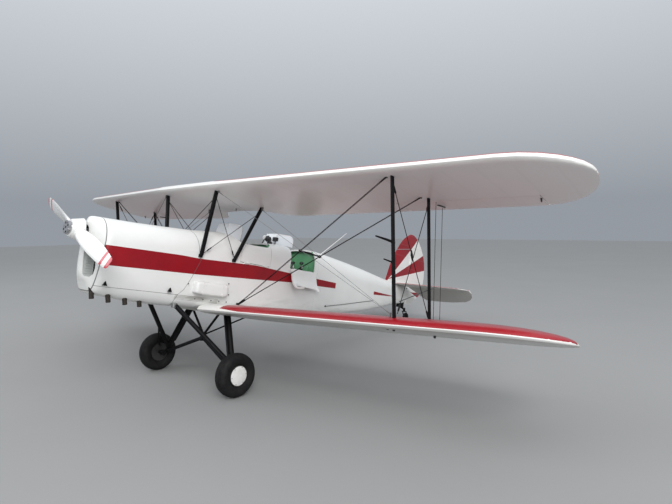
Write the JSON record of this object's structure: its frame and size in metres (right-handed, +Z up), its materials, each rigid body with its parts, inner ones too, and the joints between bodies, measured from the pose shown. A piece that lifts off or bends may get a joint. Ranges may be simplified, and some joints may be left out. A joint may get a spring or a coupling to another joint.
{
  "type": "training biplane",
  "caption": "Light training biplane with open tandem cockpits, swept strut and wire braced wings, fixed main gear, tail wheel and a wooden propeller.",
  "frame": {"origin": "on the ground under the middle of the outline, as it stands on its wheels", "axes": "+X to the aircraft's left wing, +Y towards the tail, +Z up"},
  "size_m": [8.3792, 6.9232, 2.4422],
  "materials": {
    "white_fabric": "satin",
    "white_ply": "satin",
    "white_cowl": "gloss",
    "white_wheel": "gloss",
    "bare_alloy": "satin",
    "black_steel": "satin",
    "wire_steel": "satin",
    "black_panel": "matte",
    "seat_shell": "matte",
    "screen": "gloss",
    "tyre": "matte",
    "prop_wood": "gloss"
  },
  "bodies": {
    "airframe": {"nose_bowl": "white_cowl", "cowl_upper": "white_cowl", "cowl_pan": "white_cowl", "engine_block": "bare_alloy", "exhaust_stubs": "black_steel", "firewall": "bare_alloy", "fuselage_forward": "white_ply", "panel_front": "black_panel", "panel_rear": "black_panel", "seat_front": "seat_shell", "seat_rear": "seat_shell", "stick_front": "black_steel", "stick_rear": "black_steel", "windscreen_front": "screen", "windscreen_rear": "screen", "oil_tank": "white_cowl", "centre_section": "white_fabric", "gear_pylon": "black_steel", "tailplane": "white_fabric", "fin": "white_fabric", "fuselage_aft": "white_fabric", "tail_leg": "black_steel", "upper_wing_left": "white_fabric", "lower_wing_left": "white_fabric", "cabane_front_left": "black_steel", "cabane_rear_left": "black_steel", "interplane_front_left": "black_steel", "interplane_rear_left": "black_steel", "flying_wires_left": "wire_steel", "landing_wires_left": "wire_steel", "gear_leg_left": "black_steel", "tail_strut_left": "black_steel", "upper_wing_right": "white_fabric", "lower_wing_right": "white_fabric", "cabane_front_right": "black_steel", "cabane_rear_right": "black_steel", "interplane_front_right": "black_steel", "interplane_rear_right": "black_steel", "flying_wires_right": "wire_steel", "landing_wires_right": "wire_steel", "gear_leg_right": "black_steel", "tail_strut_right": "black_steel"},
    "propeller": {"propeller": "prop_wood", "prop_hub": "black_steel"},
    "wheel_left": {"wheel_left": "white_wheel", "tyre_left": "tyre"},
    "wheel_right": {"wheel_right": "white_wheel", "tyre_right": "tyre"},
    "tail_fork": {"tail_fork": "black_steel"},
    "tail_wheel": {"tail_wheel": "tyre"},
    "rudder": {"rudder": "white_fabric"},
    "elevators": {"elevators": "white_fabric"},
    "door_front": {"door_front": "white_ply"},
    "door_rear": {"door_rear": "white_ply"},
    "aileron_upper_left": {"aileron_upper_left": "white_fabric"},
    "aileron_upper_right": {"aileron_upper_right": "white_fabric"},
    "aileron_lower_left": {"aileron_lower_left": "white_fabric"},
    "aileron_lower_right": {"aileron_lower_right": "white_fabric"}
  },
  "joints": [
    {"name": "propeller_spin", "type": "hinge", "parent": "airframe", "child": "propeller", "pos_m": [0, -3.35936, 1.87712], "axis": [0, 0.9788, -0.2048], "continuous": true},
    {"name": "wheel_left_spin", "type": "hinge", "parent": "airframe", "child": "wheel_left", "pos_m": [0.827, -2.06524, 0.24499], "axis": [1, 0, 0], "continuous": true},
    {"name": "wheel_right_spin", "type": "hinge", "parent": "airframe", "child": "wheel_right", "pos_m": [-0.827, -2.06524, 0.24499], "axis": [1, 0, 0], "continuous": true},
    {"name": "tail_fork_swivel", "type": "hinge", "parent": "airframe", "child": "tail_fork", "pos_m": [0, 2.68904, 0.218], "axis": [0, 0, 1], "range_deg": [-30, 30]},
    {"name": "tail_wheel_spin", "type": "hinge", "parent": "tail_fork", "child": "tail_wheel", "pos_m": [0, 2.73783, 0.08499], "axis": [1, 0, 0], "continuous": true},
    {"name": "rudder_hinge", "type": "hinge", "parent": "airframe", "child": "rudder", "pos_m": [0, 2.84984, 0.98635], "axis": [0, 0.2048, 0.9788], "range_deg": [-25, 25]},
    {"name": "elevator_hinge", "type": "hinge", "parent": "airframe", "child": "elevators", "pos_m": [0, 2.72966, 0.705], "axis": [1, 0, 0], "range_deg": [0, 52]},
    {"name": "door_front_hinge", "type": "hinge", "parent": "airframe", "child": "door_front", "pos_m": [0.364, -1.35431, 1.40132], "axis": [0, 0.9788, -0.2048], "range_deg": [0, 168]},
    {"name": "door_rear_hinge", "type": "hinge", "parent": "airframe", "child": "door_rear", "pos_m": [0.364, -0.50496, 1.26137], "axis": [0, -0.9788, 0.2048], "range_deg": [0, 168]},
    {"name": "aileron_upper_left_hinge", "type": "hinge", "parent": "airframe", "child": "aileron_upper_left", "pos_m": [2.955, -0.86433, 2.14792], "axis": [0.987, 0.1599, 0.0137], "range_deg": [-20, 20]},
    {"name": "aileron_lower_left_hinge", "type": "hinge", "parent": "airframe", "child": "aileron_lower_left", "pos_m": [2.77, -0.88562, 0.75835], "axis": [0.9873, 0.1577, 0.0211], "range_deg": [-20, 20]},
    {"name": "aileron_upper_right_hinge", "type": "hinge", "parent": "airframe", "child": "aileron_upper_right", "pos_m": [-2.955, -0.86433, 2.14792], "axis": [0.987, -0.1599, -0.0137], "range_deg": [-20, 20]},
    {"name": "aileron_lower_right_hinge", "type": "hinge", "parent": "airframe", "child": "aileron_lower_right", "pos_m": [-2.77, -0.88562, 0.75835], "axis": [0.9873, -0.1577, -0.0211], "range_deg": [-20, 20]}
  ],
  "couplings": [
    {"joint": "aileron_lower_left_hinge", "follows": "aileron_upper_left_hinge", "ratio": 1},
    {"joint": "aileron_upper_right_hinge", "follows": "aileron_upper_left_hinge", "ratio": -1},
    {"joint": "aileron_lower_right_hinge", "follows": "aileron_upper_left_hinge", "ratio": -1}
  ]
}
